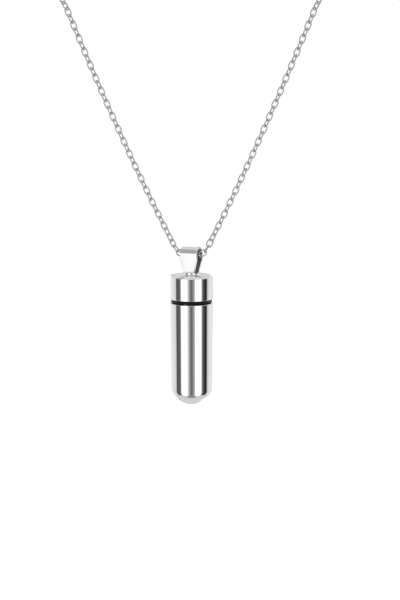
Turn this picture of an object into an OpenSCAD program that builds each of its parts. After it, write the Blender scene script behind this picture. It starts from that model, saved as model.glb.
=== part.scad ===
// Capsule pendant on an oval-link cable chain, in the form it hangs in when it is worn.
// Frame: origin at the middle of the clasp on the nape, +Z up, the front of the wearer at -Y.

/* [Capsule] */
// Outer diameter of the cap and the tube
capsule_d = 14.4; // [13:0.1:16]
// Height from the tip to the flat top of the cap
capsule_h = 44.85; // [40:0.05:60]
// Height of the cap's polished side
cap_h = 8.15; // [6:0.05:12]
// Gap between the rims of the cap and the tube, which shows the seal
seal_gap = 1.3; // [0.9:0.05:1.6]
// Radius of the rounded edge round the cap's top
cap_fillet = 1.2; // [0.8:0.1:2]
// Bevel on the two rims that face the seal
rim_bevel = 0.15; // [0.05:0.05:0.3]

/* [Tip] */
// Radius of the rounded point
tip_round = 6.3; // [5:0.1:7]
// Slope of the cone above the point, in degrees from level
tip_slope = 42; // [35:1:45]
// Radius of the shoulder between the cone and the straight wall
shoulder_round = 3.4; // [2:0.1:4]

/* [Inside] */
// Radius of the bore of the tube
bore_r = 5.6; // [5:0.05:5.8]
// Height of the floor of the bore above the tip
bore_floor = 6.5; // [5:0.1:9]
// Radial clearance between the cap's spigot and the bore
spigot_gap = 0.1; // [0.05:0.01:0.12]
// Length of the spigot below the cap's rim
spigot_l = 6.3; // [5.5:0.1:9]
// Distance that one turn of the thread travels
thread_lead = 0.75; // [0.5:0.05:1]
// Number of turns of the thread
thread_turns = 6; // [3:1:7]
// Depth of the thread's grooves
thread_depth = 0.35; // [0.2:0.05:0.4]
// Thickness of the rubber seal
seal_d = 1.2; // [0.8:0.05:1.3]
// How far the seal sits inside the capsule's wall
seal_recess = 0.3; // [0.1:0.05:0.5]

/* [Bail] */
// Height of the chain's line through the bail above the cap's top
bail_axis_h = 6.6; // [6:0.05:8]
// Outer radius of the rolled top of the strip
bail_curl_r = 2.6; // [2.4:0.05:3]
// Thickness of the strip
bail_t = 0.8; // [0.6:0.05:0.8]
// Width of the strip over the curl
bail_w_top = 6.2; // [5:0.1:7]
// Width of the strip where it meets the boss
bail_w_foot = 3.8; // [3:0.1:5]
// Depth from front to back across the two ends of the strip
bail_foot_depth = 4.2; // [3.6:0.1:5]
// How far below the chain's line the strip begins to taper
bail_taper_drop = 1.6; // [0.5:0.1:3]
// Radius of the round boss that the strip's two ends stand on
boss_r = 2.45; // [2.3:0.05:3]
// Height of the boss
boss_h = 0.6; // [0.4:0.05:1]
// How far the pendant is turned about the vertical, in degrees
pendant_turn = 27; // [0:1:30]

/* [Chain] */
// Diameter of the wire
wire_d = 0.48; // [0.4:0.02:0.5]
// Outer length of a link
link_l = 3.28; // [3.26:0.01:3.32]
// Outer width of a link
link_w = 2.3; // [2.1:0.05:2.4]
// Number of links on each side of the middle one
side_links = 115; // [110:1:116]
// Radius of the wire's centre line in the two jump rings
ring_r = 1.8; // [1.7:0.05:2]
// Diameter of the jump rings' wire
ring_wire_d = 0.6; // [0.5:0.05:0.7]

/* [Worn loop] */
// Distance from the clasp forward to the pendant
neck_depth = 108; // [95:1:120]
// Height of the clasp above the chain's line through the bail
neck_drop = 130; // [120:1:150]
// Half the width of the loop at the sides of the neck
neck_half_w = 59; // [55:1:65]
// Angle of the chain from the vertical just above the bail
arm_angle_low = 27; // [25:0.5:30]
// Angle of the chain from the vertical at the collar bones
arm_angle_high = 22; // [20:0.5:25]

/* [Clasp] */
// Distance between the far edges of the clasp's two holes
clasp_grip = 7.0; // [6.8:0.1:8]
// Radius of the clasp's large hole
clasp_hole_r = 1.5; // [1.3:0.05:1.6]
// Radius of the clasp's small hole
clasp_eye_r = 0.9; // [0.8:0.05:1]
// Width of metal round the large hole
clasp_head_wall = 0.8; // [0.7:0.05:0.9]
// Width of metal round the small hole
clasp_eye_wall = 0.65; // [0.6:0.05:0.8]
// Thickness of the clasp
clasp_t = 1.5; // [1.2:0.1:1.6]

/* [Hidden] */
$fn = 48;
steel = [0.78, 0.79, 0.80];
rubber = [0.03, 0.03, 0.03];

// Heights within the capsule, above the tip
capsule_r = capsule_d / 2;
cap_base = capsule_h - cap_h;
tube_top = cap_base - seal_gap;
spigot_r = bore_r - spigot_gap;
spigot_end = cap_base - spigot_l;
thread_start = spigot_end + 0.5 * thread_lead;

// The pendant hangs from its hinge point, on the chain's line through the bail
hinge = [0, -neck_depth, -neck_drop];
tip_below_hinge = bail_axis_h + capsule_h;
bail_leg_h = bail_axis_h - boss_h;

// A solid outline round two circles, closed by their outer tangents
module tangent_plate(from, r_from, to, r_to) {
    line = to - from;
    heading = atan2(line[1], line[0]);
    lean = acos((r_from - r_to) / norm(line));
    polygon([
        for (side = [1, -1]) from + r_from * [cos(heading + side * lean), sin(heading + side * lean)],
        for (side = [-1, 1]) to + r_to * [cos(heading + side * lean), sin(heading + side * lean)]
    ]);
    translate(from) circle(r = r_from);
    translate(to) circle(r = r_to);
}

module at_hinge() {
    translate(hinge) rotate([0, 0, -pendant_turn]) children();
}

module at_tip() {
    translate(hinge - [0, 0, tip_below_hinge]) children();
}

// Side of a row of thread ridges, from the low end up. Each row of the flanks is a share of one
// turn, and whether the side is at the crest, 0, or at the root, 1, of the groove there.
flanks = [[0.10, 0], [0.45, 1], [0.55, 1], [0.90, 0]];
function thread_side(crest, root, z) = [
    for (i = [0:thread_turns - 1]) for (f = flanks)
        [f[1] == 0 ? crest : root, z + (i + f[0]) * thread_lead]
];

// Cap: a solid top with a boss and a rounded edge, and a threaded spigot that goes into the tube
module cap_profile() {
    lead_in = 0.4;
    boss_bevel = 0.1;
    polygon(concat(
        [[0, spigot_end], [spigot_r - lead_in, spigot_end], [spigot_r, spigot_end + lead_in / 2]],
        thread_side(spigot_r, spigot_r - thread_depth, thread_start),
        [
            [spigot_r, cap_base],
            [capsule_r - rim_bevel, cap_base],
            [capsule_r, cap_base + rim_bevel],
            [capsule_r, capsule_h - cap_fillet],
            [capsule_r - cap_fillet, capsule_h],
            [boss_r, capsule_h],
            [boss_r, capsule_h + boss_h - boss_bevel],
            [boss_r - boss_bevel, capsule_h + boss_h],
            [0, capsule_h + boss_h]
        ]
    ));
    translate([capsule_r - cap_fillet, capsule_h - cap_fillet]) circle(r = cap_fillet);
}

// Side outline of the folded strip about the chain's line, grown inwards by inset. It closes in a
// rounded end below the boss's top, where the strip is cut off.
module bail_side(inset) {
    end_r = 1;
    end_x = bail_foot_depth / 2 - end_r;
    for (side = [-1, 1])
        tangent_plate([0, 0], bail_curl_r - inset, [side * end_x, -bail_leg_h], end_r - inset);
    translate([-end_x, -bail_leg_h - end_r + inset]) square([2 * end_x, bail_leg_h]);
}

// Front outline of the strip: straight over the curl, then tapered down to its ends in the boss
module bail_front() {
    top = bail_curl_r + 1;
    into_boss = 0.05;
    low = -bail_leg_h - into_boss;
    polygon([
        [-bail_w_top / 2, top], [-bail_w_top / 2, -bail_taper_drop], [-bail_w_foot / 2, low],
        [bail_w_foot / 2, low], [bail_w_top / 2, -bail_taper_drop], [bail_w_top / 2, top]
    ]);
}

// The bail is one strip rolled over and folded back on itself, open at both sides
module bail() {
    intersection() {
        rotate([90, 0, 90]) linear_extrude(height = bail_w_top + 2, center = true)
            difference() {
                bail_side(0);
                bail_side(bail_t);
            }
        rotate([90, 0, 0]) linear_extrude(height = 4 * bail_curl_r, center = true) bail_front();
    }
}

// The bail is soldered to the cap's boss, so they are one solid
module cap() {
    color(steel) union() {
        at_tip() rotate_extrude() cap_profile();
        at_hinge() bail();
    }
}

// Seal: a round rubber ring on the neck of the spigot, between the two rims
module seal_ring() {
    color(rubber) at_tip() translate([0, 0, (tube_top + cap_base) / 2]) rotate_extrude()
        translate([capsule_r - seal_recess - seal_d / 2, 0]) circle(d = seal_d);
}

// Outside of the tube: a rounded point, a cone, a rounded shoulder and a straight wall
module tube_outside() {
    cone_low = tip_round * [sin(tip_slope), 1 - cos(tip_slope)];
    cone_high_r = capsule_r - shoulder_round + shoulder_round * sin(tip_slope);
    cone_high = [cone_high_r, cone_low[1] + (cone_high_r - cone_low[0]) * tan(tip_slope)];
    shoulder_z = cone_high[1] + shoulder_round * cos(tip_slope);
    polygon([
        [0, cone_low[1]], cone_low, cone_high,
        [capsule_r, shoulder_z],
        [capsule_r, tube_top - rim_bevel], [capsule_r - rim_bevel, tube_top], [0, tube_top]
    ]);
    intersection() {
        translate([0, tip_round]) circle(r = tip_round);
        square([tip_round, cone_low[1]]);
    }
    intersection() {
        translate([capsule_r - shoulder_round, shoulder_z]) circle(r = shoulder_round);
        translate([capsule_r - shoulder_round, 0]) square([shoulder_round, shoulder_z]);
    }
}

// Inside of the tube: a drilled bore with a conical floor and a threaded mouth
module tube_bore() {
    drill_slope = 31;
    plain_mouth = 1.6 * thread_lead;
    polygon(concat(
        [[0, bore_floor], [bore_r, bore_floor + bore_r * tan(drill_slope)]],
        thread_side(bore_r, bore_r + thread_depth, tube_top - plain_mouth - thread_turns * thread_lead),
        [[bore_r, tube_top + 1], [0, tube_top + 1]]
    ));
}

module tube() {
    color(steel) at_tip() difference() {
        rotate_extrude() tube_outside();
        rotate_extrude() tube_bore();
    }
}

// Route of the chain on one side, from the hinge point round to the jump ring at the clasp.
// X is measured outwards on both sides; the stretch in the bail leaves it forwards on the right.
function bezier(p, steps) = [
    for (i = [1:steps]) let (t = i / steps, u = 1 - t)
        u * u * u * p[0] + 3 * u * u * t * p[1] + 3 * u * t * t * p[2] + t * t * t * p[3]
];
function climb(angle) = [sin(angle), 0, cos(angle)];

// A jump ring goes round the metal at the end of the clasp, just clear of its inner corners
loose = 0.12;
ring_x = clasp_grip / 2 + sqrt(pow(ring_r - ring_wire_d / 2 - loose, 2) - pow(clasp_t / 2, 2));

// Named places on the route, from the hinge point
sag_in_bail = [0, 0, -0.75];
arm_low = [6.8, 0, 5.2];
arm_high = [38, 0, 75];
side_point = [neck_half_w, 45, 107];
side_heading = [0, 0.87, 0.5];
nape_point = [ring_x, neck_depth, neck_drop];
// How far each curve of the route runs on from a named place before it turns away
run_bail = 4.8;
run_foot = 4.4;
run_arm = 25;
run_collar = 20;
run_side = 26;
run_nape = 34;

function route(side) =
    let (
        out = [cos(pendant_turn), -side * sin(pendant_turn), 0],
        low = climb(arm_angle_low),
        high = climb(arm_angle_high),
        before_side = side_point - run_side * side_heading,
        after_side = side_point + run_nape * side_heading,
        before_nape = nape_point + [run_nape, 0, 0]
    ) concat(
        [sag_in_bail],
        bezier([sag_in_bail, sag_in_bail + run_bail * out, arm_low - run_foot * low, arm_low], 30),
        bezier([arm_low, arm_low + run_arm * low, arm_high - run_arm * high, arm_high], 30),
        bezier([arm_high, arm_high + run_collar * high, before_side, side_point], 30),
        bezier([side_point, after_side, before_nape, nape_point], 40)
    );

// Distance along a route to each of its points, and the place at a given distance
function reach(p) = [
    for (i = 0, s = 0; i < len(p); i = i + 1, s = s + (i < len(p) ? norm(p[i] - p[i - 1]) : 0)) s
];
function table(p, s, axis) = [for (i = [0:len(p) - 1]) [s[i], p[i][axis]]];
function tables(side) = let (p = route(side), s = reach(p)) [for (axis = [0:2]) table(p, s, axis)];

right_route = tables(1);
left_route = tables(-1);
route_l = right_route[0][len(right_route[0]) - 1][0];

function along(s) =
    let (t = s < 0 ? left_route : right_route, side = s < 0 ? -1 : 1, d = abs(s))
        [side * lookup(d, t[0]), lookup(d, t[1]), lookup(d, t[2])];

// Links alternate by a quarter turn, and the whole chain twists slowly along its length
link_reach = (link_l - wire_d) / 2;
ring_clear = (wire_d + ring_wire_d) / 2 + loose;
link_pitch = (route_l - (ring_r + link_reach - ring_clear)) / side_links;
// Each row of the twist is a distance along the chain and the roll of its even links there
twist = [[0, 70], [5, 90], [10, 45], [16, 25], [150, 25], [route_l, 0]];

// One oval link, lying along X in the XY plane: two half rings and two straight wires
module link() {
    bend_r = (link_w - wire_d) / 2;
    straight = link_l - link_w;
    for (side = [-1, 1]) {
        translate([side * straight / 2, 0, 0]) rotate([0, 0, -90 * side])
            rotate_extrude(angle = 180) translate([bend_r, 0]) circle(d = wire_d);
        translate([-straight / 2, side * bend_r, 0]) rotate([0, 90, 0])
            cylinder(d = wire_d, h = straight);
    }
}

// Places a link at distance s along the chain, in line with the stretch that it spans
module on_route(s, roll) {
    from = along(s - link_pitch / 2);
    to = along(s + link_pitch / 2);
    d = to - from;
    translate(hinge + (from + to) / 2)
        rotate([0, -atan2(d[2], norm([d[0], d[1]])), atan2(d[1], d[0])])
            rotate([roll, 0, 0]) children();
}

module jump_ring() {
    rotate_extrude() translate([ring_r, 0]) circle(d = ring_wire_d);
}

// Chain: loose links, each through the next, with a jump ring at each end
module chain() {
    color(steel) {
        for (i = [-side_links:side_links]) {
            s = i * link_pitch;
            on_route(s, lookup(abs(s), twist) + (i % 2 == 0 ? 0 : 90)) link();
        }
        for (side = [-1, 1]) translate([side * ring_x, 0, 0]) jump_ring();
    }
}

// Clasp: one plain closed plate, flat against the nape, with a hole at each end
module clasp() {
    head = [clasp_grip / 2 - clasp_hole_r, 0];
    eye = [clasp_eye_r - clasp_grip / 2, 0];
    color(steel) rotate([90, 0, 0]) linear_extrude(height = clasp_t, center = true)
        difference() {
            tangent_plate(eye, clasp_eye_r + clasp_eye_wall, head, clasp_hole_r + clasp_head_wall);
            translate(head) circle(r = clasp_hole_r);
            translate(eye) circle(r = clasp_eye_r);
        }
}

chain();
clasp();
cap();
seal_ring();
tube();
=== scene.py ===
"""Capsule pendant on a cable chain: the looks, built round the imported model.

Every piece is modelled in millimetres about its own axis or middle, and is brought to metres and to its
place in the frame as the last step.
"""

import logging
from collections.abc import Callable, Iterable
from dataclasses import dataclass, field
from enum import Enum
from math import acos, atan2, cos, degrees, hypot, pi, radians, sin, sqrt, tan

import bmesh
import bpy
import numpy as np
from mathutils import Matrix, Vector

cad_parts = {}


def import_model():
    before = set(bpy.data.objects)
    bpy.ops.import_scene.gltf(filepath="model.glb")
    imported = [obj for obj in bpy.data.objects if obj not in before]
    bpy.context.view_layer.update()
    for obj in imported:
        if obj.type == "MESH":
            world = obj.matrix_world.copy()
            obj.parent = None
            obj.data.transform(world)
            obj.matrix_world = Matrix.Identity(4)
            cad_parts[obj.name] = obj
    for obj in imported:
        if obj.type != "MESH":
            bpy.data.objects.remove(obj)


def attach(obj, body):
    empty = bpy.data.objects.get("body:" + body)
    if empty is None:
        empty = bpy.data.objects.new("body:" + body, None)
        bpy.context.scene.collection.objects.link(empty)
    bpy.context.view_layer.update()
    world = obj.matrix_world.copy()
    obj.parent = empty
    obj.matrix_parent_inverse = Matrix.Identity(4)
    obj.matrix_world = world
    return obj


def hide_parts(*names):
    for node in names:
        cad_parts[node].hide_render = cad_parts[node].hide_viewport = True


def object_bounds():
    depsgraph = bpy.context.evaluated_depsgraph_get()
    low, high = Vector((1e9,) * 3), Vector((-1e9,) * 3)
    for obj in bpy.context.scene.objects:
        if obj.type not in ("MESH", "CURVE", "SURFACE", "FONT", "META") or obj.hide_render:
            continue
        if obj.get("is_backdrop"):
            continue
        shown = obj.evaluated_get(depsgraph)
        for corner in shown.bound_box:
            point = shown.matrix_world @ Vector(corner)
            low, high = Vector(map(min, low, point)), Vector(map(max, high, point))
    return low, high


MM = 0.001
LOG = logging.getLogger("pendant")

# Millimetres within which corners become one, in the pendant and in the chain and clasp, within which a
# corner lies on a cutting plane, and within which a place counts as on a level or a wall.
MEET = 1e-4
MEET_WIRE = 1e-3
ON_PLANE = 1e-5
NEAR = 0.01


class Part(Enum):
    """What an edit-mode selection picks by: its corners or its edges' middles."""

    VERT = "verts"
    EDGE = "edges"


class Bench:
    """Edit-mode moves on the active mesh, in millimetres."""

    @staticmethod
    def clear() -> None:
        """Leaves edit mode and deselects everything."""
        if bpy.context.object and bpy.context.object.mode != "OBJECT":
            bpy.ops.object.mode_set(mode="OBJECT")
        bpy.ops.object.select_all(action="DESELECT")

    @staticmethod
    def activate(piece: bpy.types.Object) -> None:
        """Makes the piece the only one selected, and the active one."""
        Bench.clear()
        piece.select_set(True)
        bpy.context.view_layer.objects.active = piece

    @staticmethod
    def open(piece: bpy.types.Object) -> None:
        """Opens a piece in edit mode, all selected."""
        Bench.activate(piece)
        bpy.ops.object.mode_set(mode="EDIT")
        bpy.ops.mesh.select_all(action="SELECT")

    @staticmethod
    def begin(name: str) -> bpy.types.Object:
        """Names the primitive that was just added and opens it in edit mode, all selected.

        Args:
            name: The piece's name.

        Returns:
            The piece, in edit mode.
        """
        piece = bpy.context.object
        piece.name = piece.data.name = name
        Bench.open(piece)
        return piece

    @staticmethod
    def pick(part: Part, test: Callable[[Vector], bool], rim: bool = False) -> None:
        """Selects parts of the mesh in edit mode by their place, and nothing else.

        Args:
            part: What is picked.
            test: Says whether a corner, or the middle of an edge, is picked.
            rim: True to pick only edges at the border of an open sheet.
        """
        bpy.ops.mesh.select_mode(type=part.name)
        bpy.ops.mesh.select_all(action="DESELECT")
        mesh = bmesh.from_edit_mesh(bpy.context.object.data)
        for item in getattr(mesh, part.value):
            place = item.co if part is Part.VERT else (item.verts[0].co + item.verts[1].co) / 2
            if test(place) and not (rim and not item.is_boundary):
                item.select_set(True)
        mesh.select_flush(True)
        bmesh.update_edit_mesh(bpy.context.object.data)

    @staticmethod
    def weld(distance: float = MEET) -> None:
        """Merges doubles over the whole mesh in edit mode and turns its faces outwards.

        Args:
            distance: Corners closer than this become one.
        """
        bpy.ops.mesh.select_mode(type="VERT")
        bpy.ops.mesh.select_all(action="SELECT")
        bpy.ops.mesh.remove_doubles(threshold=distance)
        bpy.ops.mesh.normals_make_consistent(inside=False)

    @staticmethod
    def close(distance: float = MEET) -> None:
        """Welds corners closer than the distance and leaves edit mode, with nothing selected."""
        Bench.weld(distance)
        Bench.clear()

    @staticmethod
    def widen(width: float) -> None:
        """Gives the flat face in edit mode its width along Y, half of it to each side.

        Args:
            width: The width.
        """
        bpy.ops.mesh.select_mode(type="FACE")
        bpy.ops.mesh.select_all(action="SELECT")
        bpy.ops.transform.translate(value=(0, -width / 2, 0))
        bpy.ops.mesh.extrude_region_move(TRANSFORM_OT_translate={"value": (0, width, 0)})

    @staticmethod
    def apply(piece: bpy.types.Object, kind: str, **settings: object) -> None:
        """Adds a modifier to a piece in object mode and applies it.

        Args:
            piece: The piece.
            kind: The modifier's type.
            settings: The modifier's own settings.
        """
        Bench.activate(piece)
        modifier = piece.modifiers.new(kind.title(), kind)
        for key, value in settings.items():
            setattr(modifier, key, value)
        bpy.ops.object.modifier_apply(modifier=modifier.name)

    @staticmethod
    def soften(piece: bpy.types.Object, width: float, segments: int, corner: float = 50) -> None:
        """Bevels a piece's edges that turn by more than the corner, which is in degrees."""
        Bench.apply(
            piece, "BEVEL", width=width, segments=segments, limit_method="ANGLE", angle_limit=radians(corner),
        )

    @staticmethod
    def join(pieces: list[bpy.types.Object]) -> bpy.types.Object:
        """Joins pieces into the first of them.

        Args:
            pieces: Two or more pieces in object mode.

        Returns:
            The first piece, which now holds them all.
        """
        Bench.clear()
        for piece in pieces:
            piece.select_set(True)
        bpy.context.view_layer.objects.active = pieces[0]
        bpy.ops.object.join()
        return pieces[0]

    @staticmethod
    def settle(piece: bpy.types.Object, place: Matrix, smooth: float = 32) -> None:
        """Puts a finished mesh in its place in the frame, in metres, with its object at the origin.

        Args:
            piece: The piece, modelled in millimetres.
            place: Where it goes, in millimetres.
            smooth: Edges sharper than this many degrees stay crisp.
        """
        Bench.activate(piece)
        piece.matrix_world = Matrix.Scale(MM, 4) @ place @ piece.matrix_world
        bpy.ops.object.transform_apply(location=True, rotation=True, scale=True)
        bpy.ops.object.shade_smooth_by_angle(angle=radians(smooth))


class Outline:
    """A line of edges drawn stroke by stroke in the XZ plane, which is then spun or filled."""

    def __init__(self, name: str, x: float, z: float) -> None:
        """Puts the pen down.

        Args:
            name: The name of the mesh.
            x: Distance from the axis.
            z: Height.
        """
        Bench.clear()
        bpy.ops.mesh.primitive_plane_add(size=1)
        self.piece = Bench.begin(name)
        bpy.ops.mesh.merge(type="CENTER")
        bpy.ops.transform.translate(value=(x, 0, z))
        self.x, self.z = x, z

    def line(self, x: float, z: float, hold: float = 0.0) -> "Outline":
        """Draws a straight stroke.

        Args:
            x: Where it ends, from the axis.
            z: Where it ends in height.
            hold: Length of the short edge at each end, which keeps a long wall's shading straight.

        Returns:
            The outline.
        """
        start, end = Vector((self.x, 0, self.z)), Vector((x, 0, z))
        step = (end - start).normalized() * hold
        stops = [start + step, end - step, end] if hold else [end]
        at = start
        for stop in stops:
            bpy.ops.mesh.extrude_region_move(TRANSFORM_OT_translate={"value": stop - at})
            at = stop
        self.x, self.z = x, z
        return self

    def arc(self, x: float, z: float, turn: float, steps: int) -> "Outline":
        """Draws an arc about a centre.

        Args:
            x: The centre, from the axis.
            z: The centre's height.
            turn: Degrees, positive from X towards Z.
            steps: Number of edges.

        Returns:
            The outline.
        """
        bpy.ops.mesh.spin(steps=steps, angle=radians(turn), center=(x, 0, z), axis=(0, 1, 0))
        dx, dz, a = self.x - x, self.z - z, radians(turn)
        self.x, self.z = x + dx * cos(a) - dz * sin(a), z + dx * sin(a) + dz * cos(a)
        return self

    def lathe(self, steps: int) -> bpy.types.Object:
        """Spins the outline round the Z axis into a turned surface.

        Args:
            steps: Number of sides.

        Returns:
            The piece, in object mode.
        """
        bpy.ops.mesh.select_all(action="SELECT")
        bpy.ops.mesh.spin(steps=steps, angle=2 * pi, center=(0, 0, 0), axis=(0, 0, 1))
        Bench.close()
        return self.piece


class Nodes:
    """A node tree that is built a node at a time."""

    def __init__(self, tree: bpy.types.NodeTree) -> None:
        """Starts from an empty tree, that of a material or world."""
        self.tree = tree
        tree.nodes.clear()

    def add(self, kind: str, inputs: dict[str | int, object] | None = None,
            **settings: object) -> bpy.types.Node:
        """Adds a node.

        Args:
            kind: The node's type, without its ShaderNode prefix.
            inputs: A value or another node's output for each named input.
            settings: The node's own settings.

        Returns:
            The node.
        """
        node = self.tree.nodes.new("ShaderNode" + kind)
        for key, value in settings.items():
            setattr(node, key, value)
        for key, value in (inputs or {}).items():
            if isinstance(value, bpy.types.NodeSocket):
                self.tree.links.new(value, node.inputs[key])
            else:
                node.inputs[key].default_value = value
        return node

    def math(self, operation: str, *values: object) -> bpy.types.NodeSocket:
        """The result of a Math node, from numbers or from the outputs that feed it."""
        return self.add("Math", dict(enumerate(values)), operation=operation).outputs[0]

    def spread(self, value: bpy.types.NodeSocket, low: float, high: float, to_low: float = 0.0,
               to_high: float = 1.0) -> bpy.types.NodeSocket:
        """A value that is mapped smoothly from one range onto another, and clamped."""
        inputs = {"Value": value, 1: low, 2: high, 3: to_low, 4: to_high}
        return self.add("MapRange", inputs, interpolation_type="SMOOTHSTEP").outputs[0]

    def fade(self, value: bpy.types.NodeSocket, level: float,
             share: bpy.types.NodeSocket) -> bpy.types.NodeSocket:
        """A value that is faded to an even level, which alone is left where the share is 1."""
        return self.add("Mix", {0: share, 2: value, 3: level}).outputs[0]

    def stain(self, tint: tuple[float, float, float], other: tuple[float, float, float],
              share: bpy.types.NodeSocket) -> bpy.types.NodeSocket:
        """A tint that is mixed with another, which alone is left where the share is 1."""
        return self.add("Mix", {0: share, 6: (*tint, 1), 7: (*other, 1)}, data_type="RGBA").outputs[2]

    def noise(self, place: bpy.types.NodeSocket, size: float, detail: float = 2.0) -> bpy.types.NodeSocket:
        """The level of a cloudy pattern, with the size of its clouds in millimetres."""
        return self.add("TexNoise", {"Vector": place, "Scale": 1 / (size * MM), "Detail": detail}).outputs[0]

    def bump(self, pattern: bpy.types.NodeSocket, height: float,
             strength: float = 1.0) -> bpy.types.NodeSocket:
        """The normals of a pattern that is raised from the surface, with its height in millimetres."""
        inputs = {"Height": pattern, "Strength": strength, "Distance": height * MM}
        return self.add("Bump", inputs).outputs[0]


@dataclass(frozen=True)
class Finish:
    """What all finishes share: a name, and one shader that reads the object's own coordinates."""

    name: str

    def surface(self, nodes: Nodes, place: bpy.types.NodeSocket) -> dict[str | int, object]:
        """The shader's inputs by name, which each finish works out from the coordinates."""
        raise NotImplementedError

    def build(self) -> bpy.types.Material:
        """Makes the material.

        Returns:
            The material.
        """
        material = bpy.data.materials.new(self.name)
        material.use_nodes = True
        nodes = Nodes(material.node_tree)
        place = nodes.add("TexCoord").outputs["Object"]
        shader = nodes.add("BsdfPrincipled", self.surface(nodes, place))
        nodes.add("OutputMaterial", {"Surface": shader.outputs[0]})
        return material


@dataclass(frozen=True)
class PolishedMetal(Finish):
    """Steel, from mirror-polished to plain, with faint smears and the finest marks of its making."""

    tint: tuple[float, float, float]
    duller: float
    gloss: tuple[float, float]
    smear: float
    mark_pitch: tuple[float, float, float]
    mark_height: float
    smear_range: tuple[float, float] = (0.35, 0.75)
    wear_range: tuple[float, float] = (0.12, 0.42)

    def surface(self, nodes: Nodes, place: bpy.types.NodeSocket) -> dict[str | int, object]:
        """Works out the shader's inputs.

        Args:
            nodes: The material's nodes.
            place: The object's coordinates.

        Returns:
            A value or an output for each named input.
        """
        smears = nodes.noise(place, self.smear, detail=3.0)
        fine = nodes.add("Mapping", {"Vector": place, "Scale": [1 / (p * MM) for p in self.mark_pitch]})
        marks = nodes.add("TexNoise", {"Vector": fine.outputs[0], "Scale": 1.0, "Detail": 2.0}).outputs[0]
        wear = nodes.math("MULTIPLY", smears, marks)
        dull = tuple(c * self.duller for c in self.tint)
        return {
            "Base Color": nodes.stain(self.tint, dull, nodes.spread(smears, *self.smear_range)),
            "Metallic": 1.0,
            "Roughness": nodes.spread(wear, *self.wear_range, *self.gloss),
            "Normal": nodes.bump(marks, self.mark_height),
        }


@dataclass(frozen=True)
class MouldedRubber(Finish):
    """Black rubber with a faint sheen and a fine moulded grain."""

    tint: tuple[float, float, float]
    bloom: tuple[float, float, float]
    gloss: tuple[float, float]
    grain: float
    grain_height: float
    grains_per_cloud: float = 6
    shine: float = 0.14
    bloom_range: tuple[float, float] = (0.4, 0.7)
    gloss_range: tuple[float, float] = (0.35, 0.7)

    def surface(self, nodes: Nodes, place: bpy.types.NodeSocket) -> dict[str | int, object]:
        """Works out the shader's inputs.

        Args:
            nodes: The material's nodes.
            place: The object's coordinates.

        Returns:
            A value or an output for each named input.
        """
        cloud = nodes.noise(place, self.grains_per_cloud * self.grain)
        grain = nodes.noise(place, self.grain, detail=4.0)
        return {
            "Base Color": nodes.stain(self.tint, self.bloom, nodes.spread(cloud, *self.bloom_range)),
            "Metallic": 0.0,
            "Specular IOR Level": self.shine,
            "Roughness": nodes.spread(cloud, *self.gloss_range, *self.gloss),
            "Normal": nodes.bump(grain, self.grain_height),
        }


@dataclass(frozen=True)
class StudioPaper(Finish):
    """Matt white paper for the floor."""

    name: str = "studio_paper"
    tint: tuple[float, float, float] = (0.94, 0.94, 0.94)
    roughness: float = 0.9
    glow: float = 0.55
    tooth: float = 0.4
    tooth_height: float = 0.05
    relief: float = 0.2

    def surface(self, nodes: Nodes, place: bpy.types.NodeSocket) -> dict[str | int, object]:
        """The shader's inputs by name: an even tint and glow, and the paper's tooth."""
        return {
            "Base Color": (*self.tint, 1),
            "Roughness": self.roughness,
            "Normal": nodes.bump(nodes.noise(place, self.tooth), self.tooth_height, self.relief),
            "Emission Color": (1, 1, 1, 1),
            "Emission Strength": self.glow,
        }


@dataclass
class Capsule:
    """Sizes of the screw capsule, in millimetres, with heights above the tip of its point."""

    radius: float = 7.2
    height: float = 44.85
    cap_height: float = 8.15
    gap: float = 1.3
    top_round: float = 1.2
    boss: float = 2.45
    boss_height: float = 0.6
    boss_round: float = 0.05
    solder: float = 0.25
    rim_round: float = 0.15
    tip_round: float = 6.3
    tip_slope: float = 42.0
    shoulder: float = 3.4
    bore: float = 5.6
    bore_floor: float = 6.5
    drill_slope: float = 31.0
    clearance: float = 0.1
    spigot: float = 6.3
    spigot_fillet: float = 0.12
    spigot_chamfer: float = 0.35
    lead: float = 0.75
    turns: int = 6
    plain_mouth_turns: float = 1.6
    plain_foot_turns: float = 0.5
    groove: float = 0.35
    seal: float = 1.2
    seal_recess: float = 0.3
    hang: float = 51.45
    sides: int = 128

    @property
    def cap_base(self) -> float:
        """Height of the cap's rim."""
        return self.height - self.cap_height

    @property
    def tube_top(self) -> float:
        """Height of the tube's rim."""
        return self.cap_base - self.gap


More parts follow.
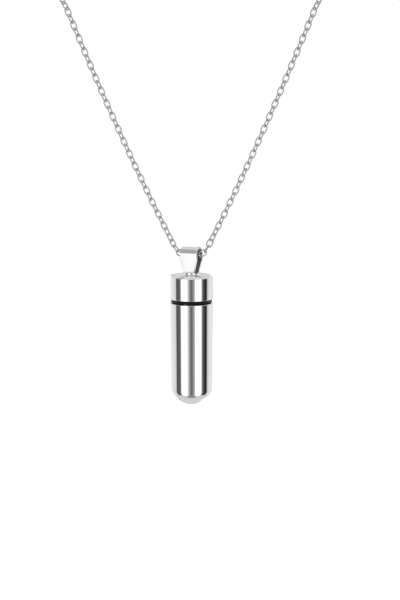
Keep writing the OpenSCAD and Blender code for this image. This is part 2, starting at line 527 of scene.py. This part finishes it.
@dataclass
class WornLoop:
    """The chain's route from the bail up to the nape, in millimetres, with its links' sizes.

    The angles are those of each arm's two ends from the vertical, the runs are the lengths of the curves'
    handles, and the twist is stops of distance along the chain and the links' roll, in degrees.
    """

    hinge: tuple[float, float, float] = (0.0, -108.0, -130.0)
    turn: float = 27.0
    arm_low: tuple[float, float, float] = (6.8, 0.0, 5.2)
    arm_high: tuple[float, float, float] = (38.0, 0.0, 75.0)
    side: tuple[float, float, float] = (59.0, 45.0, 107.0)
    side_heading: tuple[float, float, float] = (0.0, 0.87, 0.5)
    angles: tuple[float, float] = (27.0, 22.0)
    sag: float = 0.75
    runs: tuple[float, ...] = (4.8, 4.4, 25.0, 20.0, 26.0, 34.0)
    points: tuple[int, int, int, int] = (30, 30, 30, 40)
    twist: tuple[tuple[float, float], ...] = ((0, 52), (1.2, 74.8), (5, 90), (10, 45), (16, 25), (150, 25))
    wire: float = 0.48
    length: float = 3.28
    width: float = 2.3
    side_links: int = 115
    ring: float = 1.8
    ring_wire: float = 0.6
    loose: float = 0.12
    grip: float = 7.0
    clasp_thickness: float = 1.5

    @property
    def ring_x(self) -> float:
        """How far the jump rings' middles are from the middle of the clasp."""
        inner = self.ring - self.ring_wire / 2 - self.loose
        return self.grip / 2 + sqrt(inner**2 - (self.clasp_thickness / 2) ** 2)

    @staticmethod
    def bezier(a: np.ndarray, b: np.ndarray, c: np.ndarray, d: np.ndarray, steps: int) -> list[np.ndarray]:
        """Points of a cubic curve, after its first.

        Args:
            a: Start.
            b: Handle of the start.
            c: Handle of the end.
            d: End.
            steps: Number of points.

        Returns:
            The points.
        """
        points = []
        for i in range(1, steps + 1):
            t, u = i / steps, 1 - i / steps
            points.append(u * u * u * a + 3 * u * u * t * b + 3 * u * t * t * c + t * t * t * d)
        return points

    def route(self, side: int) -> np.ndarray:
        """The route on one side, from the hinge point, with X measured outwards.

        Args:
            side: 1 for the right side, -1 for the left.

        Returns:
            Its points, a row each.
        """
        out = np.array([cos(radians(self.turn)), -side * sin(radians(self.turn)), 0])
        low, high = (np.array([sin(radians(a)), 0, cos(radians(a))]) for a in self.angles)
        start = np.array([0, 0, -self.sag])
        arm_low, arm_high = np.array(self.arm_low), np.array(self.arm_high)
        beside, heading = np.array(self.side), np.array(self.side_heading)
        nape = np.array([self.ring_x, -self.hinge[1], -self.hinge[2]])
        bail, foot, arm, collar, before, after = self.runs
        curves = (
            (start, start + bail * out, arm_low - foot * low, arm_low),
            (arm_low, arm_low + arm * low, arm_high - arm * high, arm_high),
            (arm_high, arm_high + collar * high, beside - before * heading, beside),
            (beside, beside + after * heading, nape + np.array([after, 0, 0]), nape),
        )
        points = [start]
        for curve, steps in zip(curves, self.points):
            points += self.bezier(*curve, steps)
        return np.array(points)

    def places(self) -> list[Matrix]:
        """Where each link goes, from the left jump ring round to the right one.

        Returns:
            A matrix for each link, in millimetres.
        """
        routes = {side: self.route(side) for side in (1, -1)}
        reach = {
            side: np.concatenate([[0], np.cumsum(np.linalg.norm(np.diff(p, axis=0), axis=1))])
            for side, p in routes.items()
        }
        total = reach[1][-1]
        ring_clear = (self.wire + self.ring_wire) / 2 + self.loose
        pitch = (total - (self.ring + (self.length - self.wire) / 2 - ring_clear)) / self.side_links
        rolls = (*self.twist, (total, 0))

        def along(s: float) -> Vector:
            """The point at a distance along the chain from the hinge, negative on the left."""
            side = -1 if s < 0 else 1
            x, y, z = (np.interp(abs(s), reach[side], routes[side][:, k]) for k in range(3))
            return Vector((side * x, y, z))

        found = []
        for i in range(-self.side_links, self.side_links + 1):
            s = i * pitch
            start, end = along(s - pitch / 2), along(s + pitch / 2)
            d = end - start
            roll = np.interp(abs(s), [r[0] for r in rolls], [r[1] for r in rolls]) + (90 if i % 2 else 0)
            found.append(
                Matrix.Translation(Vector(self.hinge) + (start + end) / 2)
                @ Matrix.Rotation(atan2(d.y, d.x), 4, "Z")
                @ Matrix.Rotation(-atan2(d.z, hypot(d.x, d.y)), 4, "Y")
                @ Matrix.Rotation(radians(roll), 4, "X")
            )
        return found


@dataclass
class ThreadCutter:
    """Cuts a helical thread into a band of a turned surface.

    The helix starts early and has spare turns, so that both ends can be cut level. The flanks are shares
    of a turn, each on the crest (0) or in the groove (1). Rims are bridged only where they lie less than
    the reach outside the crests.
    """

    lead: float
    sides: int
    run_out: float = 0.3
    early_turns: float = 1.5
    spare_turns: int = 2
    reach: float = 1.0
    flanks: tuple[tuple[float, int], ...] = ((0.0, 0), (0.10, 0), (0.45, 1), (0.55, 1), (0.90, 0), (1.0, 0))

    def band(self, crest: float, root: float, low: float, high: float) -> bpy.types.Object:
        """Makes the threaded band, cut level at both ends.

        Args:
            crest: Radius of the crests.
            root: Radius of the grooves.
            low: Height of its lower end.
            high: Height of its upper end.

        Returns:
            The band, in object mode.
        """
        start = low - self.early_turns * self.lead
        radii = (crest, root)
        (share, kind), *rest = self.flanks
        line = Outline("thread", radii[kind], start + share * self.lead)
        for share, kind in rest:
            line.line(radii[kind], start + share * self.lead)
        Bench.apply(
            line.piece, "SCREW", axis="Z", angle=2 * pi, screw_offset=self.lead,
            iterations=round((high - low) / self.lead) + self.spare_turns,
            steps=self.sides, render_steps=self.sides, use_merge_vertices=True, merge_threshold=MEET,
        )
        Bench.open(line.piece)
        Bench.weld()
        for height, below in ((low, True), (high, False)):
            bpy.ops.mesh.select_all(action="SELECT")
            bpy.ops.mesh.bisect(
                plane_co=(0, 0, height), plane_no=(0, 0, 1), clear_inner=below, clear_outer=not below,
                threshold=ON_PLANE,
            )
        Bench.clear()
        return line.piece

    def fit(self, upper: bpy.types.Object, band: bpy.types.Object, lower: bpy.types.Object,
            low: float, high: float, crest: float) -> bpy.types.Object:
        """Joins a threaded band to the turned surfaces above and below it, with a run-out at each end.

        Args:
            upper: The surface above, open at high plus the run-out.
            band: The threaded band.
            lower: The surface below, open at low less the run-out.
            low: Height of the band's lower end.
            high: Height of its upper end.
            crest: Radius of the crests.

        Returns:
            The closed piece.
        """
        beside = crest + self.reach
        piece = Bench.join([upper, band, lower])
        Bench.open(piece)
        for level, beyond in ((low, low - self.run_out), (high, high + self.run_out)):
            Bench.pick(
                Part.EDGE,
                lambda p: min(abs(p.z - level), abs(p.z - beyond)) < NEAR and hypot(p.x, p.y) < beside,
                rim=True,
            )
            bpy.ops.mesh.bridge_edge_loops()
        Bench.close()
        return piece


@dataclass
class CapsulePieces:
    """The tube, the cap and the seal, all turned about the capsule's axis.

    The seal's parting line is made where its surface is within the skin's depth of its widest.
    """

    size: Capsule
    steel: bpy.types.Material
    rubber: bpy.types.Material
    parting: float = 0.05
    parting_swell: float = 1.003
    skin: float = 0.02
    cutter: ThreadCutter = field(init=False)

    def __post_init__(self) -> None:
        """Sets up the thread cutter that the cap and the tube share."""
        self.cutter = ThreadCutter(self.size.lead, self.size.sides)

    def tube(self) -> bpy.types.Object:
        """Turns the tube: a rounded point, a cone, a shoulder and a straight wall, then its threaded bore.

        Returns:
            The tube.
        """
        s = self.size
        slope = radians(s.tip_slope)
        cone = (s.tip_round * sin(slope), s.tip_round * (1 - cos(slope)))
        top_x = s.radius - s.shoulder + s.shoulder * sin(slope)
        top_z = cone[1] + (top_x - cone[0]) * tan(slope)
        wall_z = top_z + s.shoulder * cos(slope)
        high = s.tube_top - s.plain_mouth_turns * s.lead
        low = high - s.turns * s.lead
        run = self.cutter.run_out
        shell = (
            Outline("capsule_tube", 0, 0)
            .arc(0, s.tip_round, s.tip_slope, steps=16)
            .line(top_x, top_z, hold=0.12)
            .arc(s.radius - s.shoulder, wall_z, 90 - s.tip_slope, steps=14)
            .line(s.radius, s.tube_top - s.rim_round, hold=0.15)
            .arc(s.radius - s.rim_round, s.tube_top - s.rim_round, 90, steps=5)
            .line(s.bore + s.rim_round, s.tube_top, hold=0.05)
            .line(s.bore, s.tube_top - s.rim_round)
            .line(s.bore, high + run)
            .lathe(s.sides)
        )
        drill = (
            Outline("bore", s.bore, low - run)
            .line(s.bore, s.bore_floor + s.bore * tan(radians(s.drill_slope)), hold=0.2)
            .line(0, s.bore_floor)
            .lathe(s.sides)
        )
        band = self.cutter.band(s.bore, s.bore + s.groove, low, high)
        return self.cutter.fit(shell, band, drill, low, high, s.bore)

    def cap(self) -> bpy.types.Object:
        """Turns the cap: a boss on a flat top, a rounded edge, a straight side, and a threaded spigot below.

        Returns:
            The cap.
        """
        s = self.size
        core = s.bore - s.clearance
        foot = s.cap_base - s.spigot
        low = foot + s.plain_foot_turns * s.lead
        high = low + s.turns * s.lead
        run = self.cutter.run_out
        crown = s.height + s.boss_height
        head = (
            Outline("capsule_cap", 0, crown)
            .line(s.boss - s.boss_round, crown, hold=0.05)
            .arc(s.boss - s.boss_round, crown - s.boss_round, -90, steps=4)
            .line(s.boss, s.height + s.solder)
            .arc(s.boss + s.solder, s.height + s.solder, 90, steps=8)
            .line(s.radius - s.top_round, s.height, hold=0.12)
            .arc(s.radius - s.top_round, s.height - s.top_round, -90, steps=16)
            .line(s.radius, s.cap_base + s.rim_round, hold=0.15)
            .arc(s.radius - s.rim_round, s.cap_base + s.rim_round, -90, steps=5)
            .line(core + s.spigot_fillet, s.cap_base, hold=0.05)
            .arc(core + s.spigot_fillet, s.cap_base - s.spigot_fillet, 90, steps=4)
            .line(core, high + run)
            .lathe(s.sides)
        )
        nose = (
            Outline("spigot_end", core, low - run)
            .line(core - s.spigot_chamfer, foot)
            .line(0, foot)
            .lathe(s.sides)
        )
        band = self.cutter.band(core, core - s.groove, low, high)
        return self.cutter.fit(head, band, nose, low, high, core)

    def seal(self) -> bpy.types.Object:
        """Moulds the seal: a round ring with a fine parting line at its widest.

        Returns:
            The seal.
        """
        s = self.size
        middle = s.radius - s.seal_recess - s.seal / 2
        widest = middle + s.seal / 2 - self.skin
        Bench.clear()
        bpy.ops.mesh.primitive_torus_add(
            major_radius=middle, minor_radius=s.seal / 2, major_segments=s.sides, minor_segments=24,
        )
        piece = Bench.begin("rubber_seal")
        Bench.pick(Part.EDGE, lambda p: abs(p.z) < NEAR and hypot(p.x, p.y) > widest)
        bpy.ops.mesh.bevel(offset=self.parting, segments=2, affect="EDGES")
        Bench.pick(Part.VERT, lambda p: abs(p.z) < NEAR and hypot(p.x, p.y) > widest)
        bpy.ops.transform.resize(value=(self.parting_swell, self.parting_swell, 1))
        bpy.ops.mesh.select_all(action="SELECT")
        bpy.ops.transform.translate(value=(0, 0, (s.tube_top + s.cap_base) / 2))
        Bench.close()
        return piece

    def build(self, hinge: Vector) -> None:
        """Makes the three pieces, puts them in the frame, attaches them to their bodies and hides the CAD
        parts that they stand for.

        Args:
            hinge: The point that the pendant hangs from.
        """
        place = Matrix.Translation(hinge - Vector((0, 0, self.size.hang)))
        for make, node, body, slot, finish in (
            (self.tube, "tube", "tube_body", "polished_steel", self.steel),
            (self.cap, "cap", "cap_body", "polished_steel", self.steel),
            (self.seal, "seal_ring", "seal_body", "seal_rubber", self.rubber),
        ):
            piece = make()
            Bench.settle(piece, place)
            dress(piece, finish, body, node)


@dataclass
class StripBail:
    """The bail: one tapered strip rolled over at the top, with its two ends on the cap's boss."""

    steel: bpy.types.Material
    # The inside's material: rougher steel whose darker tint is painted shade.
    inside: bpy.types.Material
    leg: float = 6.0
    curl: float = 2.6
    thickness: float = 0.8
    width_top: float = 6.2
    width_foot: float = 3.8
    depth: float = 4.2
    end_round: float = 1.0
    taper_drop: float = 1.6
    into_boss: float = 0.05
    spare: float = 0.6
    edge: float = 0.13

    @property
    def tangent(self) -> float:
        """How far above level the roll passes into a leg, in radians about the chain's line."""
        x, z = self.depth / 2 - self.end_round, -self.leg
        return atan2(z, x) + acos((self.curl - self.end_round) / hypot(x, z))

    def loop(self, name: str, inset: float) -> bpy.types.Object:
        """Draws one side outline of the strip, about the chain's line.

        Args:
            name: The name of the mesh.
            inset: How far inside the strip's outer face it runs.

        Returns:
            A closed loop of edges, which runs on below the strip's ends.
        """
        roll, end = self.curl - inset, self.end_round - inset
        x, z = self.depth / 2 - self.end_round, -self.leg
        across, up = cos(self.tangent), sin(self.tangent)
        low = (x + end * across + self.spare * up, z + end * up - self.spare * across)
        line = (
            Outline(name, -low[0], low[1])
            .line(*low)
            .line(roll * across, roll * up, hold=0.1)
            .arc(0, 0, 180 - 2 * degrees(self.tangent), steps=48)
            .line(-low[0], low[1], hold=0.1)
        )
        Bench.close()
        return line.piece

    def build(self, hinge: Vector, turn: float) -> None:
        """Makes the bail, puts it on the boss, attaches it to the cap's body and hides the CAD part that it
        stands for.

        Args:
            hinge: The point where the chain's line crosses the bail's middle.
            turn: How far the pendant is turned about the vertical, in degrees.
        """
        piece = Bench.join([self.loop("strip_bail", 0), self.loop("inside", self.thickness)])
        Bench.open(piece)
        bpy.ops.mesh.select_mode(type="EDGE")
        bpy.ops.mesh.select_all(action="SELECT")
        bpy.ops.mesh.bridge_edge_loops()
        Bench.widen(self.width_top)
        low = -self.leg - self.into_boss
        taper = (self.width_top - self.width_foot) / 2
        slant = Vector((0, -low - self.taper_drop, -taper)).normalized()
        for side in (1, -1):
            bpy.ops.mesh.select_all(action="SELECT")
            bpy.ops.mesh.bisect(
                plane_co=(0, side * self.width_top / 2, -self.taper_drop),
                plane_no=(0, side * slant.y, slant.z), use_fill=True, clear_outer=True, threshold=ON_PLANE,
            )
        Bench.close()
        Bench.soften(piece, self.edge, segments=3)
        Bench.open(piece)
        bpy.ops.mesh.bisect(
            plane_co=(0, 0, low), plane_no=(0, 0, 1), use_fill=True, clear_inner=True, threshold=ON_PLANE,
        )
        Bench.close()
        place = Matrix.Translation(hinge) @ Matrix.Rotation(radians(90 - turn), 4, "Z")
        Bench.settle(piece, place)
        Bench.apply(piece, "WEIGHTED_NORMAL", keep_sharp=True)
        dress(piece, self.steel, "cap_body", "cap")
        self.line(piece, place)

    def line(self, piece: bpy.types.Object, place: Matrix) -> None:
        """Gives the inside of the strip a rougher steel with a darker tint, which is painted shade for the
        shaded inside of the roll and legs.

        Args:
            piece: The bail in its place.
            place: Where it is, in millimetres.
        """
        piece.data.materials.append(self.inside)
        back = place.inverted() @ Matrix.Scale(1 / MM, 4)
        across, up = cos(self.tangent), sin(self.tangent)
        bore = self.curl - self.thickness
        for face in piece.data.polygons:
            x, _, z = back @ face.center
            deep = hypot(x, z) if z > 0 else abs(x) * across + z * up
            if deep < bore + NEAR:
                face.material_index = 1


@dataclass
class CableChain:
    """The chain: oval links of round wire, each through the next, and a jump ring at each end."""

    loop: WornLoop
    steel: bpy.types.Material
    wire_sides: int = 6
    bend_steps: int = 6
    ring_sides: int = 12
    ring_steps: int = 32

    def link(self) -> bpy.types.Object:
        """Bends one oval link, lying along X.

        Returns:
            The link, in object mode.
        """
        s = self.loop
        bend = (s.width - s.wire) / 2
        straight = s.length - s.width
        Bench.clear()
        bpy.ops.mesh.primitive_circle_add(vertices=self.wire_sides, radius=s.wire / 2)
        piece = Bench.begin("link")
        bpy.ops.transform.rotate(value=pi / 2, orient_axis="Y", center_override=(0, 0, 0))
        bpy.ops.transform.translate(value=(straight / 2, -bend, 0))
        for side in (1, -1):
            bpy.ops.mesh.spin(
                steps=self.bend_steps, angle=pi, center=(side * straight / 2, 0, 0), axis=(0, 0, -1),
            )
            bpy.ops.mesh.extrude_region_move(TRANSFORM_OT_translate={"value": (-side * straight, 0, 0)})
        Bench.close(MEET_WIRE)
        return piece

    def jump_ring(self) -> bpy.types.Object:
        """Bends one jump ring, closed and lying flat.

        Returns:
            The ring, in object mode.
        """
        s = self.loop
        Bench.clear()
        bpy.ops.mesh.primitive_circle_add(vertices=self.ring_sides, radius=s.ring_wire / 2)
        piece = Bench.begin("jump_ring")
        bpy.ops.transform.rotate(value=pi / 2, orient_axis="X", center_override=(0, 0, 0))
        bpy.ops.transform.translate(value=(s.ring, 0, 0))
        bpy.ops.mesh.spin(steps=self.ring_steps, angle=2 * pi, center=(0, 0, 0), axis=(0, 0, 1))
        Bench.close(MEET_WIRE)
        return piece

    @staticmethod
    def repeat(model: bpy.types.Object, place: Matrix) -> bpy.types.Object:
        """Copies a finished shape, with a mesh of its own.

        Args:
            model: The shape.
            place: Where the copy goes, in millimetres.

        Returns:
            The copy.
        """
        copy = model.copy()
        copy.data = model.data.copy()
        copy.matrix_world = place
        bpy.context.scene.collection.objects.link(copy)
        return copy

    def build(self) -> None:
        """Makes the links and rings, joins them into one piece, attaches it to its body and hides the CAD
        part that it stands for.
        """
        link, ring = self.link(), self.jump_ring()
        ends = [Matrix.Translation((side * self.loop.ring_x, 0, 0)) for side in (1, -1)]
        copies = [self.repeat(link, place) for place in self.loop.places()]
        copies += [self.repeat(ring, place) for place in ends]
        for model in (link, ring):
            bpy.data.objects.remove(model)
        piece = Bench.join(copies)
        piece.name = piece.data.name = "cable_chain"
        Bench.settle(piece, Matrix.Identity(4), smooth=75)
        dress(piece, self.steel, "necklace", "chain")


@dataclass
class PlateClasp:
    """The clasp: a plain plate with a hole at each end and softened edges."""

    loop: WornLoop
    steel: bpy.types.Material
    hole: float = 1.5
    eye: float = 0.9
    head_wall: float = 0.8
    eye_wall: float = 0.65
    edge: float = 0.3

    def ring(self, name: str, x: float, radius: float, steps: int) -> bpy.types.Object:
        """Draws a circle of edges in the plate's plane.

        Args:
            name: The name of the mesh.
            x: Its middle.
            radius: Its radius.
            steps: Number of edges.

        Returns:
            The circle.
        """
        line = Outline(name, x + radius, 0).arc(x, 0, 360, steps)
        Bench.close(MEET_WIRE)
        return line.piece

    def build(self) -> None:
        """Makes the clasp, attaches it to its body and hides the CAD part that it stands for."""
        half_grip = self.loop.grip / 2
        head, eye = half_grip - self.hole, self.eye - half_grip
        big, small = self.hole + self.head_wall, self.eye + self.eye_wall
        lean = acos((big - small) / (head - eye))
        turn = degrees(pi - lean)
        start = (head + big * cos(pi - lean), -big * sin(lean))
        rim = (
            Outline("plate_clasp", *start)
            .arc(head, 0, 2 * turn, steps=36)
            .line(eye + small * cos(pi - lean), small * sin(lean))
            .arc(eye, 0, 360 - 2 * turn, steps=20)
            .line(*start)
        )
        Bench.close(MEET_WIRE)
        piece = Bench.join([
            rim.piece,
            self.ring("hole", head, self.hole, steps=32),
            self.ring("eye", eye, self.eye, steps=24),
        ])
        Bench.open(piece)
        bpy.ops.mesh.fill()
        Bench.widen(self.loop.clasp_thickness)
        Bench.close(MEET_WIRE)
        Bench.soften(piece, self.edge, segments=4)
        Bench.settle(piece, Matrix.Identity(4))
        dress(piece, self.steel, "necklace", "clasp")


@dataclass(frozen=True)
class LightPanel:
    """A soft-edged patch of even light: four headings and four heights in degrees, and its level."""

    across: tuple[float, float, float, float]
    upwards: tuple[float, float, float, float]
    level: float

    def cover(self, nodes: Nodes, heading: bpy.types.NodeSocket,
              height: bpy.types.NodeSocket) -> bpy.types.NodeSocket:
        """Works out how much of the panel shows in each direction.

        Args:
            nodes: The world's nodes.
            heading: The direction's heading, in radians.
            height: The sine of its height.

        Returns:
            The share, from 0 to 1.
        """
        a, b, c, d = (radians(angle) for angle in self.across)
        e, f, g, h = (sin(radians(angle)) for angle in self.upwards)
        sides = nodes.math("MULTIPLY", nodes.spread(heading, a, b), nodes.spread(heading, d, c))
        ends = nodes.math("MULTIPLY", nodes.spread(height, e, f), nodes.spread(height, h, g))
        return nodes.math("MULTIPLY", sides, ends)


@dataclass
class Studio:
    """The camera, the white surroundings that the polished steel reflects, and the floor.

    The bands are stops of heading, in degrees from straight towards the camera, and light level. The
    fades are a start and an end in degrees of height, and the level that the light fades to.
    """

    aim: tuple[float, float, float] = (2.85, -108.0, -145.25)
    distance: float = 190.0
    rise: float = 9.1
    lens: float = 34.0
    sensor: float = 36.0
    nearest: float = 10.0
    floor_drop: float = 320.0
    floor_size: float = 3000.0
    bands: tuple[tuple[float, float], ...] = (
        (-180, 0.76), (-155, 1.1), (-125, 1.22), (-96, 1.05), (-91, 0.9), (-87, 0.14), (-69, 0.15),
        (-59, 0.32), (-57, 1.53), (-52.5, 1.57), (-48.5, 2.0), (-25, 2.0), (-20, 1.15), (-14, 0.75),
        (-7, 0.34), (0, 0.18), (6, 0.3), (14, 0.6), (18, 0.8), (22, 2.0), (52, 2.0), (57, 0.6), (61, 0.25),
        (69, 0.11), (80, 0.03), (89, 0.03), (93, 0.7), (102, 1.05), (125, 1.22), (155, 1.1), (180, 0.76),
    )
    brightest: float = 2.0
    backdrop: float = 1.02
    fades: tuple[tuple[float, float, float], ...] = ((13, 21, 1.0), (60, 72, 1.15), (-37, -45, 0.94))
    panels: tuple[LightPanel, ...] = (
        LightPanel((-100, -92, -54, -50), (14, 18, 56, 62), 0.59),
        LightPanel((-34, -26, 24, 32), (-74, -66, -50, -34), 0.36),
        LightPanel((-175, -172, -166, -163), (-44, -38, 14, 22), 0.2),
        LightPanel((-163, -161, -150, -147), (-44, -38, 14, 22), 1.5),
        LightPanel((147, 151, 156, 159), (-44, -38, 14, 22), 0.4),
        LightPanel((159, 161, 171, 174), (-44, -38, 14, 22), 1.6),
    )

    def camera(self) -> None:
        """Sets the camera at the angle of the photograph."""
        rise = radians(self.rise)
        data = bpy.data.cameras.new("camera")
        data.lens, data.sensor_width, data.clip_start = self.lens, self.sensor, self.nearest * MM
        camera = bpy.data.objects.new("camera", data)
        x, y, z = self.aim
        camera.location = Vector((x, y - self.distance * cos(rise), z + self.distance * sin(rise))) * MM
        camera.rotation_euler = (pi / 2 - rise, 0, 0)
        bpy.context.scene.collection.objects.link(camera)
        bpy.context.scene.camera = camera

    def surroundings(self) -> None:
        """Builds the light round the object: soft boxes and dark gaps, an even ceiling and ground, panels."""
        world = bpy.data.worlds.new("studio")
        bpy.context.scene.world = world
        world.use_nodes = True
        nodes = Nodes(world.node_tree)
        way = nodes.add("TexCoord").outputs["Generated"]
        x, y, height = nodes.add("SeparateXYZ", {0: way}).outputs
        heading = nodes.math("ARCTAN2", x, nodes.math("MULTIPLY", y, -1.0))
        ramp = nodes.add("ValToRGB", {0: nodes.math("MULTIPLY_ADD", heading, 1 / (2 * pi), 0.5)})
        stops = ramp.color_ramp.elements
        stops[0].position, stops[-1].position = 0.0, 1.0
        for angle, _ in self.bands[1:-1]:
            stops.new((angle + 180) / 360)
        for stop, (_, strength) in zip(stops, self.bands):
            level = strength / self.brightest
            stop.color = (level, level, level, 1)
        light = nodes.math("MULTIPLY", ramp.outputs[0], self.brightest)
        for start, end, level in self.fades:
            light = nodes.fade(light, level, nodes.spread(height, sin(radians(start)), sin(radians(end))))
        for panel in self.panels:
            light = nodes.fade(light, panel.level, panel.cover(nodes, heading, height))
        seen = nodes.add("Background", {"Color": (1, 1, 1, 1), "Strength": self.backdrop})
        felt = nodes.add("Background", {"Color": light, "Strength": 1.0})
        mixed = nodes.add("MixShader", {
            0: nodes.add("LightPath").outputs["Is Camera Ray"], 1: felt.outputs[0], 2: seen.outputs[0],
        })
        nodes.add("OutputWorld", {"Surface": mixed.outputs[0]})

    def floor(self, lowest: float) -> None:
        """Lays the floor well below the hanging pendant.

        Args:
            lowest: The lowest point of the object, in metres.
        """
        Bench.clear()
        height = lowest - self.floor_drop * MM
        bpy.ops.mesh.primitive_plane_add(size=self.floor_size * MM, location=(0, 0, height))
        floor = bpy.context.object
        floor.name = "floor"
        floor.data.materials.append(StudioPaper().build())
        floor.visible_glossy = False
        floor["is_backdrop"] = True


def dress(piece: bpy.types.Object, finish: bpy.types.Material, body: str, node: str) -> None:
    """Gives a piece its finish and its place in the frame.

    Args:
        piece: The finished piece.
        finish: Its material.
        body: The body that it rides on.
        node: The CAD node that it stands for.
    """
    piece.data.materials.clear()
    piece.data.materials.append(finish)
    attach(piece, body)
    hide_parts(node)
    LOG.info("%s: %d faces, on %s", piece.name, len(piece.data.polygons), body)


def main() -> None:
    """Builds the scene."""
    logging.basicConfig(level=logging.INFO, format="%(name)s: %(message)s")
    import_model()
    cad_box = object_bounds()
    bpy.context.scene.view_settings.view_transform = "Standard"
    studio = Studio()
    studio.camera()
    studio.surroundings()
    studio.floor(cad_box[0].z)
    steel = PolishedMetal(
        "polished_steel", tint=(0.64, 0.64, 0.645), duller=0.97, gloss=(0.045, 0.075), smear=9.0,
        mark_pitch=(30, 30, 0.22), mark_height=0.00012,
    ).build()
    wire = PolishedMetal(
        "drawn_wire", tint=(0.41, 0.41, 0.42), duller=0.9, gloss=(0.04, 0.09), smear=1.5,
        mark_pitch=(0.25, 0.25, 0.25), mark_height=0.0006,
    ).build()
    rubber = MouldedRubber(
        "black_rubber", tint=(0.004, 0.004, 0.004), bloom=(0.006, 0.006, 0.006), gloss=(0.3, 0.42),
        grain=0.12, grain_height=0.002,
    ).build()
    # The bail's inside: rougher steel with a darker tint, which is painted shade for the shaded inside of the
    # roll and legs.
    inside = PolishedMetal(
        "unpolished_steel", tint=(0.50, 0.50, 0.505), duller=0.9, gloss=(0.24, 0.34), smear=3.0,
        mark_pitch=(0.1, 0.1, 1.2), mark_height=0.0008,
    ).build()
    loop = WornLoop()
    hinge = Vector(loop.hinge)
    CapsulePieces(Capsule(), steel, rubber).build(hinge)
    StripBail(steel, inside).build(hinge, loop.turn)
    CableChain(loop, wire).build()
    PlateClasp(loop, wire).build()
    Bench.clear()


if __name__ == "__main__":
    main()
